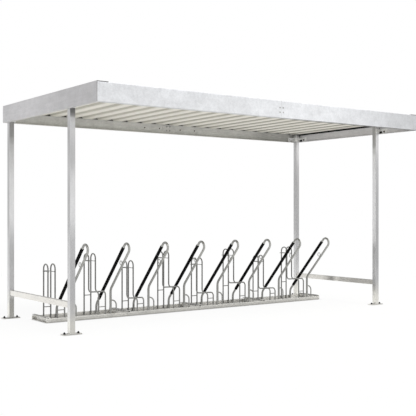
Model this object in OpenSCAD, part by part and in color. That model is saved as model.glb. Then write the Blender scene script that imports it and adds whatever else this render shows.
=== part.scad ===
// Open bicycle shelter: four box-section posts, folded roof beams, trapezoidal
// roof sheets, and a row of wheel holders and lean-on hoops on low base frames.
// Origin: centre of the footprint on the ground. +X along the row, -Y is the
// side that bicycles are pushed in from, +Z up. All sizes in millimetres.

/* [Roof] */
// Length of the roof over the end beams
roof_l = 4440; // [4380:10:4600]
// Depth of the roof over the front and back beams
roof_w = 2215; // [2180:5:2400]
// Clear height under the roof beams
clear_h = 2195; // [2000:5:2400]
// Height of the front and back beams
beam_h = 185; // [170:5:220]
// Sheet thickness of the folded roof beams
beam_t = 5; // [4:1:6]
// Width of the top flange of the end beams
end_flange_w = 120; // [90:5:150]
// Depth of the roof sheet's ribs
rib_h = 35; // [25:1:40]
// Distance from rib to rib of the roof sheet
rib_pitch = 207; // [180:1:230]
// Fall of the roof sheet from front to back
roof_fall = 16; // [0:2:30]

/* [Posts] */
// Width of the square posts
post_w = 60; // [50:2:70]
// Wall thickness of the posts
post_t = 4; // [3:1:5]
// Distance from the roof's end to the middle of a post
post_end = 60; // [55:1:70]
// Distance from the roof's front to the middle of the front posts
post_front = 630; // [500:10:800]
// Distance from the roof's back to the middle of the back posts
post_back = 80; // [70:1:90]
// Thickness of the base plates
plate_t = 10; // [8:1:12]
// Distance between the two anchor holes of a base plate
anchor_pitch = 150; // [130:5:160]
// Diameter of the anchor holes
anchor_d = 14; // [12:1:18]
// Height of the side rails' middle above the ground
rail_z = 287; // [250:1:400]

/* [Rack] */
// Length of one base frame with its gap to the next
module_l = 1007; // [980:1:1040]
// Depth of the base frames
frame_w = 375; // [360:5:400]
// Distance from the roof's front to the base frames
frame_front = 1507; // [1400:1:1530]
// Leg length of the base frames' angle section
angle_leg = 45; // [35:1:55]
// Height of the base frames' end channels
channel_h = 62; // [50:1:70]
// Top of the low wheel holders
low_top = 620; // [560:5:660]
// How much higher the high wheel holders are
lift = 100; // [60:5:130]
// Diameter of the wheel holders' bars
bar_d = 16; // [14:1:18]
// Distance between the two bars of a wheel holder
bar_gap = 86; // [80:1:95]
// Diameter of the lean-on hoops' tube
hoop_d = 27; // [24:1:34]
// Top of the lean-on hoops
hoop_top = 860; // [800:5:900]

/* [Hidden] */
$fn = 32;
// How far straight bars lap into their bends, and how far bends draw down in thickness
lap = 0.3;
bend_draw = 0.982;
// How deep a bar's round sinks into what it is welded to
weld_sink = 1.2;

front_y = -roof_w / 2;
back_y = roof_w / 2;
end_x = roof_l / 2;
flange_t = 6;
end_beam_h = beam_h + flange_t;
beam_flange = 40;
end_lip = post_end - post_w / 2;
beam_r = 8;
splice_gap = 2;
splice_l = 160;
splice_h = 70;
splice_play = 3;

post_x = end_x - post_end;
post_ys = [front_y + post_front, back_y - post_back];
post_rise = 100;
post_top = clear_h + post_rise;
inner_x = post_x - post_w / 2;
post_corner = 8;
plate_l = 200;
plate_w = 80;
plate_corner = 8;

rail_h = 60;
rail_w = 40;
rail_t = 3;
rail_corner = 6;

// Roof sheet: crest, web run and trough widths add up to one rib
sheet_t = 1;
crest_w = 40;
web_run = 24;
sheet_ribs = 5;
sheet_rise = 113;
sheet_play = 1;
sheet_low = clear_h + sheet_rise;
sheet_slope = atan(roof_fall / roof_w);
sheet_x0 = -end_x + beam_t;
sheet_l = roof_l - 2 * beam_t;
ledge_leg = 45;
ledge_t = 4;
seal_w = 28;
seal_t = 8;

bracket_h = 58;
bracket_t = 6;
bracket_reach = 120;
bracket_leg = 60;

// Base frames
frame_count = 4;
rack_x = -5;
frame_gap = 3;
frame_l = module_l - frame_gap;
frame_t = 5;
angle_root = 6;
channel_w = 40;
channel_r = 8;
frame_y0 = front_y + frame_front;
frame_y1 = frame_y0 + frame_w;

// Wheel holders, outlined in the Y-Z plane
holder_in = 177;
holder_pitch = module_l / 2;
bar_back = frame_y1 - frame_t - bar_d / 2;
bar_front = frame_y0 + frame_t + bar_d / 2;
loop_w = 112;
rest_drop = 412;
rest_dip = 22;
bar_bend = 40;
keeper_d = 8;
keeper_drop = 90;
keeper_reach = 57;
keeper_bend = 20;
tie_d = 10;
back_tie = 488;
front_tie = 130;

// Lean-on hoops, outlined in the Y-Z plane
hoop_side = 112;
hoop_wall = 2.6;
hoop_back = frame_y1 - frame_t - hoop_d / 2;
hoop_front = frame_y0 + frame_t + hoop_d / 2;
hoop_angle = 47.4;
hoop_knee = 120;
hoop_bend = [100, 90];
hoop_w = 114.8;
sleeve_d = 37;
sleeve_l = 830;
sleeve_start = 95;
ring_r = 22.5;
ring_d = 8;
ring_along = 0.6;
brace_x = 73;
brace_z = 195;
brace_bend = 58;

// Hoop geometry along its sloping legs
slope_dir = [-cos(hoop_angle), sin(hoop_angle)];
slope_side = [-sin(hoop_angle), -cos(hoop_angle)];
knee_back = [hoop_back, hoop_knee];
knee_front_z = hoop_knee + ((hoop_back - hoop_front) * sin(hoop_angle) - hoop_w) / cos(hoop_angle);
knee_front = [hoop_front, knee_front_z];
crown_z = hoop_top - hoop_d / 2 - hoop_w / 2;
crown_run = (crown_z - hoop_knee + hoop_w / 2 * cos(hoop_angle)) / sin(hoop_angle);
crown_back = knee_back + (crown_run + hoop_w / 2) * slope_dir;
crown_front = crown_back + hoop_w * slope_side;

steel = [0.72, 0.73, 0.73];
pale_steel = [0.86, 0.87, 0.88];
cream = [0.86, 0.85, 0.80];
black = [0.07, 0.07, 0.07];

// ---- Bent bars and folded sections ------------------------------------

function heading(a, b) = atan2(b[1] - a[1], b[0] - a[0]);

// Signed turn at point i of a path, from -180 to 180 degrees
function turn(p, i) =
    let (d = heading(p[i], p[i + 1]) - heading(p[i - 1], p[i]))
    d > 180 ? d - 360 : d < -180 ? d + 360 : d;

// Length that the bend at point i takes from the straight on each side
function setback(p, r, i) =
    i == 0 || i == len(p) - 1 ? 0 : r[i] * tan(abs(turn(p, i)) / 2);

// Round bar along points p in the X-Y plane, with a bend radius r at each point.
// The straights lap a little into the bends, which draw down in bending.
module bent_bar(p, r, d) {
    last = len(p) - 2;
    for (i = [0 : last]) {
        from = setback(p, r, i) - (i == 0 ? 0 : lap);
        to = norm(p[i + 1] - p[i]) - setback(p, r, i + 1) + (i == last ? 0 : lap);
        translate([p[i][0], p[i][1], 0])
            rotate([0, 90, heading(p[i], p[i + 1])])
                translate([0, 0, from])
                    cylinder(h = to - from, d = d);
    }
    for (i = [1 : last]) {
        bend = turn(p, i);
        side = bend > 0 ? 1 : -1;
        translate([p[i][0], p[i][1], 0])
            rotate([0, 0, heading(p[i - 1], p[i])])
                translate([-setback(p, r, i), side * r[i], 0])
                    rotate([0, 0, bend > 0 ? -90 : 90 + bend])
                        rotate_extrude(angle = abs(bend))
                            translate([r[i], 0])
                                circle(d = d * bend_draw);
    }
}

// Turns a shape drawn in X-Y into the Y-Z plane at the given X
module upright(x) {
    translate([x, 0, 0]) rotate([90, 0, 90]) children();
}

// Quarter ring that joins two folded flats; its arc runs from +X to +Y
module fold_corner(r, t) {
    intersection() {
        difference() {
            circle(r);
            circle(r - t);
        }
        square(r);
    }
}

// Rectangle round the origin with round corners
module rounded(w, h, r) {
    square([w - 2 * r, h], center = true);
    square([w, h - 2 * r], center = true);
    for (x = [r - w / 2, w / 2 - r], y = [r - h / 2, h / 2 - r])
        translate([x, y]) circle(r);
}

// Cold-formed hollow section round the origin
module box_section(w, h, t, r) {
    difference() {
        rounded(w, h, r);
        rounded(w - 2 * t, h - 2 * t, r - t);
    }
}

// Rolled angle with a fillet at its root and its outer corner on the origin
module rolled_angle(leg, t, root) {
    square([t, leg]);
    square([leg, t]);
    difference() {
        square(t + root);
        translate([t + root, t + root]) circle(root);
    }
}

// C-shaped folded section: web on the Y axis, flanges towards +X
module folded_channel(h, low, high, t_low, t_high, r) {
    translate([0, r]) square([t_low, h - 2 * r]);
    translate([r, 0]) square([low - r, t_low]);
    translate([r, h - t_high]) square([high - r, t_high]);
    translate([r, r]) rotate(180) fold_corner(r, t_low);
    translate([r, h - r]) rotate(90) fold_corner(r, t_low);
}

// ---- Roof frame ---------------------------------------------------------

// Half of the front beam, with its outer face on Y = 0 and its cut on X = 0
module half_beam() {
    length = end_x - beam_t - splice_gap / 2;
    translate([splice_gap / 2, 0, clear_h])
        rotate([90, 0, 90])
            linear_extrude(length)
                folded_channel(beam_h, beam_flange, beam_flange, beam_t, beam_t, beam_r);
}

module front_beam(side) {
    color(pale_steel)
        translate([0, front_y, 0]) scale_side(side) half_beam();
}

module back_beam(side) {
    color(pale_steel)
        translate([0, back_y, 0]) mirror([0, 1, 0]) scale_side(side) half_beam();
}

// Side -1 mirrors its children to the left, side 1 leaves them on the right
module scale_side(side) {
    if (side < 0) mirror([1, 0, 0]) children();
    else children();
}

// End beam: web outside, wide top flange over the other beams, and a lower lip
// cut back at both ends to let the other beams' flanges in
module end_beam(side) {
    color(steel)
        scale_side(side)
            translate([end_x, front_y, clear_h])
                difference() {
                    rotate([90, 0, 180]) linear_extrude(roof_w) end_section();
                    for (y = [-1, roof_w - beam_flange])
                        translate([-end_lip - 1, y, -1])
                            cube([end_lip + 1 - beam_t, beam_flange + 1, beam_r + 1]);
                }
}

module end_section() {
    translate([0, beam_r]) square([beam_t, end_beam_h - beam_r]);
    translate([beam_r, 0]) square([end_lip - beam_r, beam_t]);
    translate([beam_r, beam_r]) rotate(180) fold_corner(beam_r, beam_t);
    translate([0, end_beam_h - flange_t]) square([end_flange_w, flange_t]);
}

// Plate that bolts the two halves of a beam together, behind the web
module splice_plate(at_back) {
    y = at_back ? back_y - beam_t - flange_t : front_y + beam_t;
    color(steel)
        translate([-splice_l / 2, y, ledge_top(at_back) - ledge_t - splice_play - splice_h])
            cube([splice_l, flange_t, splice_h]);
}

// ---- Posts --------------------------------------------------------------

module post(side, y) {
    color(steel)
        translate([side * post_x, y, 0]) {
            translate([0, 0, plate_t])
                linear_extrude(post_top - plate_t)
                    box_section(post_w, post_w, post_t, post_corner);
            base_plate();
        }
}

module base_plate() {
    linear_extrude(plate_t)
        difference() {
            rounded(plate_l, plate_w, plate_corner);
            for (x = [-anchor_pitch / 2, anchor_pitch / 2])
                translate([x, 0]) circle(d = anchor_d);
        }
}

module side_rail(side) {
    length = post_ys[1] - post_ys[0] - post_w;
    color(steel)
        scale_side(side)
            translate([post_x, post_ys[1] - post_w / 2, rail_z])
                rotate([90, 0, 0])
                    linear_extrude(length)
                        box_section(rail_w, rail_h, rail_t, rail_corner);
}

// Angle that bolts the front of a post to the end beam's web
module head_bracket(side, y, at_back) {
    reach_x = end_x - beam_t;
    color(steel)
        scale_side(side) {
            translate([reach_x - bracket_t, y - post_w / 2 - bracket_reach, clear_h + beam_r])
                cube([bracket_t, bracket_reach, bracket_h]);
            translate([inner_x, y - post_w / 2 - bracket_t, clear_h + beam_r])
                cube([reach_x - inner_x, bracket_t, bracket_h]);
            if (at_back) back_angle(y);
        }
}

// Angle that bolts the inner side of a back post to the back beam's web
module back_angle(y) {
    back = back_y - beam_t;
    front = y - post_w / 2;
    translate([inner_x - bracket_t, front, clear_h + beam_r])
        cube([bracket_t, back - front, bracket_h]);
    translate([inner_x - bracket_leg, back - bracket_t, clear_h + beam_r])
        cube([bracket_leg, bracket_t, bracket_h]);
}

// ---- Roof sheets ----------------------------------------------------------

// Height of the sheets' underside at a distance from the roof's front
function sheet_z(from_front) = sheet_low + roof_fall * (1 - from_front / roof_w);

// Top of the angles that carry the sheets' front and back ends
function ledge_top(at_back) = sheet_z(at_back ? roof_w - beam_t : beam_t + ledge_leg);

// Places children drawn in X-Z so that they run from front to back with the fall,
// and stop short by the given distance at each end
module along_fall(short) {
    start = beam_t + short;
    translate([0, front_y + start, sheet_z(start)])
        rotate([90 - sheet_slope, 0, 0])
            mirror([0, 0, 1])
                linear_extrude(roof_w - 2 * start)
                    children();
}

// Lower outline of the ribs from x0 to x1, starting in the middle of a trough
function rib_outline(count, shift) = [
    for (i = [0 : count - 1])
        let (x = (i + 0.5) * rib_pitch - crest_w / 2)
        each [
            [x - web_run + shift, 0],
            [x + shift, rib_h - sheet_t],
            [x + crest_w - shift, rib_h - sheet_t],
            [x + crest_w + web_run - shift, 0]
        ]
];

// Trapezoidal sheet with the given number of ribs, cut off at width
module rib_section(width) {
    count = ceil(width / rib_pitch);
    skew = sheet_t * tan(atan(rib_h / web_run) / 2);
    low = concat([[0, 0]], rib_outline(count, 0), [[count * rib_pitch, 0]]);
    high = [for (p = concat([[0, 0]], rib_outline(count, -skew), [[count * rib_pitch, 0]])) p + [0, sheet_t]];
    intersection() {
        polygon(concat(low, [for (i = [len(high) - 1 : -1 : 0]) high[i]]));
        square([width, 2 * rib_h]);
    }
}

module roof_sheet(i) {
    full = sheet_ribs * rib_pitch;
    width = min(full, sheet_l - i * full);
    color(cream)
        along_fall(sheet_play)
            translate([sheet_x0 + i * full, 0]) rib_section(width);
}

// Angle that carries the ends of the sheets, fixed to a beam's web. Its upright
// leg leaves room for the splice plate.
module sheet_ledge(at_back) {
    room = splice_l + 2 * splice_play;
    color(steel)
        translate([0, at_back ? back_y - beam_t : front_y + beam_t, ledge_top(at_back) - ledge_leg])
            mirror([0, at_back ? 1 : 0, 0])
                difference() {
                    translate([-sheet_l / 2, 0, 0])
                        rotate([90, 0, 90])
                            linear_extrude(sheet_l) {
                                square([ledge_t, ledge_leg]);
                                translate([0, ledge_leg - ledge_t]) square([ledge_leg, ledge_t]);
                            }
                    translate([-room / 2, -1, -1])
                        cube([room, ledge_t + 2, ledge_leg - ledge_t + 1]);
                }
}

// Black strip that closes the joint between the sheets and an end beam
module edge_seal(side) {
    color(black)
        scale_side(side)
            along_fall(ledge_leg)
                translate([end_x - beam_t - seal_w, -seal_t]) square([seal_w, seal_t]);
}

// ---- Base frames ------------------------------------------------------------

// Two angle rails joined at both ends by a channel that is open to the left
module base_frame(i) {
    color(steel)
        translate([frame_x(i), frame_y0, 0]) {
            frame_rail();
            translate([0, frame_w, 0]) mirror([0, 1, 0]) frame_rail();
            for (x = [channel_w, frame_l])
                translate([x, 0, 0]) frame_end();
        }
}

module frame_end() {
    rotate([90, 0, 180])
        linear_extrude(frame_w)
            folded_channel(channel_h, channel_w, channel_w, frame_t, frame_t, channel_r);
}

module frame_rail() {
    rotate([90, 0, 90])
        linear_extrude(frame_l)
            rolled_angle(angle_leg, frame_t, angle_root);
}

function frame_x(i) = rack_x + (i - frame_count / 2) * module_l + frame_gap / 2;

// ---- Wheel holders and hoops --------------------------------------------------

function holder_x(i) = frame_x(0) + holder_in + i * holder_pitch;

module holder_bar(top) {
    rest = top - rest_drop - bar_d / 2;
    peak = top - bar_d / 2;
    path = [
        [bar_back, frame_t], [bar_back, peak],
        [bar_back - loop_w, peak], [bar_back - loop_w, rest - rest_dip],
        [bar_front, rest], [bar_front, frame_t]
    ];
    bent_bar(path, [0, loop_w / 2, loop_w / 2, bar_bend, bar_bend, 0], bar_d);
}

module cross_bar(y, z) {
    translate([-bar_gap / 2, y, z])
        rotate([0, 90, 0]) cylinder(h = bar_gap, d = tie_d);
}

// Keeper bar: runs along the inner side of both bars and closes behind them
module keeper(z) {
    arm_x = (bar_gap - bar_d - keeper_d) / 2 + weld_sink;
    front = bar_back - loop_w;
    back = bar_back + keeper_reach;
    translate([0, 0, z])
        bent_bar([[-arm_x, front], [-arm_x, back], [arm_x, back], [arm_x, front]],
                 [0, keeper_bend, keeper_bend, 0], keeper_d);
}

module wheel_holder(i) {
    top = low_top + (i % 2) * lift;
    color(steel)
        translate([holder_x(i), 0, 0]) {
            for (x = [-bar_gap / 2, bar_gap / 2]) upright(x) holder_bar(top);
            cross_bar(bar_back, top - back_tie);
            cross_bar(bar_front, front_tie);
            keeper(top - keeper_drop);
        }
}

module hoop_tube(d, extra) {
    path = [
        [hoop_back, frame_t - extra], knee_back, crown_back, crown_front,
        knee_front, [hoop_front, frame_t - extra]
    ];
    bent_bar(path, [0, hoop_bend[0], hoop_w / 2, hoop_w / 2, hoop_bend[1], 0], d);
}

module lock_ring() {
    spot = knee_front + ring_along * (crown_front - knee_front);
    centre = spot - (ring_r + (hoop_d + ring_d) / 2 - weld_sink) * slope_side;
    translate([centre[0], centre[1], 0])
        rotate_extrude() translate([ring_r, 0]) circle(d = ring_d);
}

module lean_hoop(i) {
    color(steel)
        translate([holder_x(i) + hoop_side, 0, 0]) {
            difference() {
                upright(0) hoop_tube(hoop_d, 0);
                upright(0) hoop_tube(hoop_d - 2 * hoop_wall, 1);
            }
            upright(0) lock_ring();
            brace();
        }
}

// Small brace bar beside a hoop's front leg
module brace() {
    translate([0, hoop_front, 0])
        rotate([90, 0, 0])
            bent_bar([[hoop_d / 2 - weld_sink, brace_z], [brace_x, brace_z], [brace_x, frame_t]],
                     [0, brace_bend, 0], bar_d);
}

module hoop_sleeves() {
    color(black)
        for (i = [0 : 2 * frame_count - 1])
            translate([holder_x(i) + hoop_side, 0, 0])
                upright(0)
                    translate([hoop_back, hoop_knee, 0])
                        rotate([0, 90, 180 - hoop_angle])
                            translate([0, 0, sleeve_start])
                                difference() {
                                    cylinder(h = sleeve_l, d = sleeve_d);
                                    translate([0, 0, -1])
                                        cylinder(h = sleeve_l + 2, d = hoop_d);
                                }
}

post(-1, post_ys[0]);  // front_left_post
post(1, post_ys[0]);  // front_right_post
post(-1, post_ys[1]);  // back_left_post
post(1, post_ys[1]);  // back_right_post
side_rail(-1);  // left_side_rail
side_rail(1);  // right_side_rail
front_beam(-1);  // front_beam_left
front_beam(1);  // front_beam_right
back_beam(-1);  // back_beam_left
back_beam(1);  // back_beam_right
end_beam(-1);  // left_end_beam
end_beam(1);  // right_end_beam
splice_plate(false);  // front_splice_plate
splice_plate(true);  // back_splice_plate
head_bracket(-1, post_ys[0], false);  // front_left_head_bracket
head_bracket(1, post_ys[0], false);  // front_right_head_bracket
head_bracket(-1, post_ys[1], true);  // back_left_head_bracket
head_bracket(1, post_ys[1], true);  // back_right_head_bracket
sheet_ledge(false);  // front_sheet_ledge
sheet_ledge(true);  // back_sheet_ledge
roof_sheet(0);  // roof_sheet_1
roof_sheet(1);  // roof_sheet_2
roof_sheet(2);  // roof_sheet_3
roof_sheet(3);  // roof_sheet_4
roof_sheet(4);  // roof_sheet_5
edge_seal(-1);  // left_edge_seal
edge_seal(1);  // right_edge_seal
base_frame(0);  // base_frame_1
base_frame(1);  // base_frame_2
base_frame(2);  // base_frame_3
base_frame(3);  // base_frame_4
wheel_holder(0);  // wheel_holder_1
wheel_holder(1);  // wheel_holder_2
wheel_holder(2);  // wheel_holder_3
wheel_holder(3);  // wheel_holder_4
wheel_holder(4);  // wheel_holder_5
wheel_holder(5);  // wheel_holder_6
wheel_holder(6);  // wheel_holder_7
wheel_holder(7);  // wheel_holder_8
lean_hoop(0);  // lean_hoop_1
lean_hoop(1);  // lean_hoop_2
lean_hoop(2);  // lean_hoop_3
lean_hoop(3);  // lean_hoop_4
lean_hoop(4);  // lean_hoop_5
lean_hoop(5);  // lean_hoop_6
lean_hoop(6);  // lean_hoop_7
lean_hoop(7);  // lean_hoop_8
hoop_sleeves();
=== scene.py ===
import math

import bmesh
import bpy
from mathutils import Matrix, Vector


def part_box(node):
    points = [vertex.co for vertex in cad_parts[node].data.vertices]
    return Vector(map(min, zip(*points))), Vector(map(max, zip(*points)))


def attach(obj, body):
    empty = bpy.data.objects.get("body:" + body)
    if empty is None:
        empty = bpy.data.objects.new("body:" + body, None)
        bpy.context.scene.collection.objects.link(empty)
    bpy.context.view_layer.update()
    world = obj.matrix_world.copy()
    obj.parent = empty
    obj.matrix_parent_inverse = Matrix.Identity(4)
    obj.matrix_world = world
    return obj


# Looks of the bicycle shelter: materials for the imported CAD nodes, the fasteners,
# weld beads, sealant, foam and soft lips that the CAD leaves out, and a white
# studio. Metres throughout.

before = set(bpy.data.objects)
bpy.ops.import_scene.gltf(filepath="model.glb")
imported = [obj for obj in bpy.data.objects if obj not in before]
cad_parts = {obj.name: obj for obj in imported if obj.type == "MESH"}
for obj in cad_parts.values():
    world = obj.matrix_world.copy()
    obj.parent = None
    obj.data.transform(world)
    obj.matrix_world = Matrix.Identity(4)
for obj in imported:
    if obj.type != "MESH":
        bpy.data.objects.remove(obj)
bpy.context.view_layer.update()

# ---- Sizes repeated from the part ----------------------------------------------

PLATE_T = 0.010
POST_HALF = 0.030
POST_CORNER = 0.008
ANCHOR_PITCH = 0.150
RAIL_CORNER = 0.006
BRACKET_T = 0.006
BEAM_T = 0.005
BEAM_UNDERSIDE = 2.195
SHEET_T = 0.001
RIB_PITCH = 0.207
RIB_H = 0.035
SEAL_T = 0.008
FRAME_COUNT = 4
FRAME_T = 0.005
ANGLE_LEG = 0.045
CHANNEL_W = 0.040
STAND_COUNT = 8
BAR_D = 0.016
HOLDER_LOOP = 0.112
KEEPER_DROP = 0.090
TIE_D = 0.010
TIE_BACK_DROP = 0.488
TIE_FRONT_Z = 0.130
HOOP_D = 0.027
HOOP_SIDE = 0.112
HOOP_TOP = 0.860
HOOP_W = 0.1148
HOOP_KNEE = 0.120
HOOP_ANGLE = math.radians(47.4)
RING_ALONG = 0.6
BRACE_X = 0.073
BRACE_Z = 0.195

# ---- Places read from the frame ------------------------------------------------

CORNERS = ("front_left", "front_right", "back_left", "back_right")

sheet_low, sheet_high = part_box("roof_sheet_1")
last_sheet_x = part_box("roof_sheet_5")[1].x

# Plane of the sheets' flats: Z + SHEET_FALL * Y = SHEET_FLAT
SHEET_FALL = (sheet_high.z - sheet_low.z - RIB_H) / (sheet_high.y - sheet_low.y)
SHEET_FLAT = sheet_low.z + SHEET_FALL * sheet_high.y


def center(name):
    """Middle of a node's box."""
    low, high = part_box(name)
    return (low + high) / 2


def sign(value):
    return 1.0 if value > 0 else -1.0


# ---- Shader nodes --------------------------------------------------------------

# Sockets of the mix node's colours, which share their names with its other kinds
MIX_FACTOR, MIX_FIRST, MIX_SECOND, MIX_RESULT = 0, 6, 7, 2


def opaque(color):
    """Colour with an alpha of 1. A socket is returned as it is."""
    return (*color, 1.0) if isinstance(color, tuple) else color


class Graph:
    """Fills one node tree, of a material or of the world, from short calls."""

    def __init__(self, owner):
        owner.use_nodes = True
        self.nodes = owner.node_tree.nodes
        self.links = owner.node_tree.links
        self.nodes.clear()

    def add(self, kind, inputs=None, **settings):
        """New node. Each input is linked to a socket, or set to a constant."""
        node = self.nodes.new("ShaderNode" + kind)
        for name, value in settings.items():
            setattr(node, name, value)
        for name, value in (inputs or {}).items():
            if isinstance(value, bpy.types.NodeSocket):
                self.links.new(value, node.inputs[name])
            else:
                node.inputs[name].default_value = value
        return node

    def math(self, operation, first, second=0.0):
        return self.add("Math", {0: first, 1: second}, operation=operation).outputs["Value"]

    def product(self, first, *others):
        """The values multiplied together."""
        for other in others:
            first = self.math("MULTIPLY", first, other)
        return first

    def rest(self, value):
        """What the value leaves of 1."""
        return self.math("SUBTRACT", 1.0, value)

    def remap(self, value, low, high, to_low=0.0, to_high=1.0, smooth=False):
        """Takes low to to_low and high to to_high, and stops at both."""
        inputs = {"Value": value, "From Min": low, "From Max": high, "To Min": to_low, "To Max": to_high}
        kind = "SMOOTHSTEP" if smooth else "LINEAR"
        return self.add("MapRange", inputs, interpolation_type=kind).outputs["Result"]


class Surface(Graph):
    """Node material. Its coordinates are the object's own, in metres."""

    def __init__(self, name):
        self.material = bpy.data.materials.new(name)
        super().__init__(self.material)
        self.coords = self.add("TexCoord").outputs["Object"]

    def stretched(self, scale):
        """Coordinates for noise that runs along the axes with a small scale."""
        return self.add("Mapping", {"Vector": self.coords, "Scale": scale}).outputs["Vector"]

    def noise(self, scale, detail=4.0, rough=0.55, distort=0.0, vector=None):
        inputs = {"Vector": vector or self.coords, "Scale": scale, "Detail": detail,
                  "Roughness": rough, "Distortion": distort}
        return self.add("TexNoise", inputs).outputs["Fac"]

    def cells(self, scale):
        """One random grey per crystal, for the zinc's spangle."""
        cell = self.add("TexVoronoi", {"Vector": self.coords, "Scale": scale}).outputs["Color"]
        return self.add("SeparateColor", {"Color": cell}).outputs["Red"]

    def axis(self, name):
        return self.add("SeparateXYZ", {"Vector": self.coords}).outputs[name]

    def normal(self):
        return self.add("NewGeometry").outputs["Normal"]

    def facing(self, name):
        """One component of the surface's normal."""
        return self.add("SeparateXYZ", {"Vector": self.normal()}).outputs[name]

    def across(self, name):
        """1 on faces square to the axis, 0 on faces along it."""
        return self.remap(self.math("ABSOLUTE", self.facing(name)), 0.6, 0.8)

    def by_face(self, on_x, on_y):
        """One level on faces square to X, and another on the rest."""
        share = self.across("X")
        return self.math("ADD", self.product(on_x, share), self.product(on_y, self.rest(share)))

    def total(self, *terms):
        """1 plus the weighted swing of each signal about its middle of 0.5. The terms
        are (signal, weight) pairs."""
        value = 1.0
        for signal, weight in terms:
            swing = self.product(self.math("SUBTRACT", signal, 0.5), weight)
            value = self.math("ADD", swing, value)
        return value

    def curve(self, name, points):
        """Level that follows (place, level) points along the axis, up to a level of 2."""
        first, last = points[0][0], points[-1][0]
        ramp = self.add("ValToRGB", {"Fac": self.remap(self.axis(name), first, last)})
        ramp.color_ramp.interpolation = "EASE"
        steps = ramp.color_ramp.elements
        while len(steps) < len(points):
            steps.new(0.5)
        for step, (place, level) in zip(steps, points):
            step.position = (place - first) / (last - first)
            step.color = opaque((0.5 * level,) * 3)
        return self.product(ramp.outputs["Color"], 2.0)

    def left_or_right(self, name, left, right):
        """Levels along an axis, for a part at the left end and its twin at the right."""
        on_right = self.math("GREATER_THAN", self.axis("X"), 0.0)
        return self.mix(on_right, self.curve(name, left), self.curve(name, right))

    def mix(self, factor, first, second):
        """Colour that goes from the first to the second as the factor grows."""
        inputs = {MIX_FACTOR: factor, MIX_FIRST: opaque(first), MIX_SECOND: opaque(second)}
        return self.add("Mix", inputs, data_type="RGBA").outputs[MIX_RESULT]

    def times(self, color, factor):
        """Colour made lighter or darker by a factor."""
        inputs = {0: color, "Scale": factor}
        return self.add("VectorMath", inputs, operation="SCALE").outputs["Vector"]

    def edges(self, radius):
        """1 along convex and hollow edges, 0 on open faces."""
        rounded = self.add("Bevel", {"Radius": radius}, samples=4).outputs["Normal"]
        dot = self.add("VectorMath", {0: rounded, 1: self.normal()}, operation="DOT_PRODUCT")
        return self.remap(dot.outputs["Value"], 0.99, 0.85)

    def bump(self, height, distance, strength, under=None):
        inputs = {"Height": height, "Distance": distance, "Strength": strength}
        if under:
            inputs["Normal"] = under
        return self.add("Bump", inputs).outputs["Normal"]

    def finish(self, color, roughness, normal, metallic=0.0, specular=0.5):
        shader = self.add("BsdfPrincipled", {
            "Base Color": color, "Roughness": roughness, "Normal": normal,
            "Metallic": metallic, "Specular IOR Level": specular})
        self.add("OutputMaterial", {"Surface": shader.outputs["BSDF"]})
        return self.material


# ---- Levels --------------------------------------------------------------------

# Each list holds (place, level) pairs, set while comparing renders with the photo.
# The place is in metres along one axis, and the level multiplies the material's own
# tone there.

# Along X
# Fascia: a painted highlight right of the middle and painted shade towards the right end
FASCIA_LEVELS = [(-2.22, 0.985), (-1.6, 1.02), (-1.2, 1.04), (-0.75, 1.02), (-0.2, 1.08), (0.3, 1.12),
                 (0.8, 1.10), (1.2, 1.03), (1.6, 0.92), (1.9, 0.82), (2.22, 0.79)]
# Back beam's inner face, ledges and back splice plate: painted shade, darkest at the right end
BACK_BEAM_LEVELS = [(-2.22, 0.93), (-1.2, 0.85), (0.0, 0.92), (0.9, 0.88), (1.35, 0.82), (1.65, 0.63),
                    (2.22, 0.66)]
# Painted shade in the sheets' recesses, darker towards the right end
RECESS_SHADE_LEVELS = [(-2.22, 1.28), (-1.0, 1.28), (0.2, 1.12), (1.3, 0.88), (2.22, 0.72)]

# Along Y
LEFT_END_LEVELS = [(-1.1, 0.90), (-0.5, 0.91), (0.0, 1.01), (0.4, 1.08), (1.1, 1.01)]
RIGHT_END_LEVELS = [(-1.1, 1.00), (-0.6, 1.10), (-0.2, 1.05), (0.2, 1.05), (0.7, 1.02), (1.1, 1.06)]
LEFT_RAIL_LEVELS = [(-0.45, 1.0), (0.3, 1.01), (0.7, 1.10), (1.0, 1.13)]
# Right rail: painted reflections, dark patches towards the front and near 0.3 m
RIGHT_RAIL_LEVELS = [(-0.45, 0.65), (-0.1, 0.63), (0.0, 0.75), (0.12, 0.72), (0.2, 0.96), (0.3, 0.5),
                     (0.42, 0.88), (0.5, 0.98), (1.0, 0.97)]
HOLDER_LEVELS = [(0.40, 1.05), (0.50, 0.98), (0.65, 0.90), (0.77, 0.86)]

# Up Z
# Frame: a painted contact shadow along the ground and a painted highlight along the top edges
FRAME_LEVELS = [(0.0, 0.60), (0.006, 0.70), (0.018, 0.97), (0.036, 1.0), (0.043, 1.35), (0.050, 1.5)]
# Hoop: painted shade low on the legs and on top of the crown
HOOP_LEVELS = [(0.0, 0.72), (0.33, 0.70), (0.55, 0.76), (0.72, 0.88), (0.80, 0.92), (0.86, 0.62)]
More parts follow.
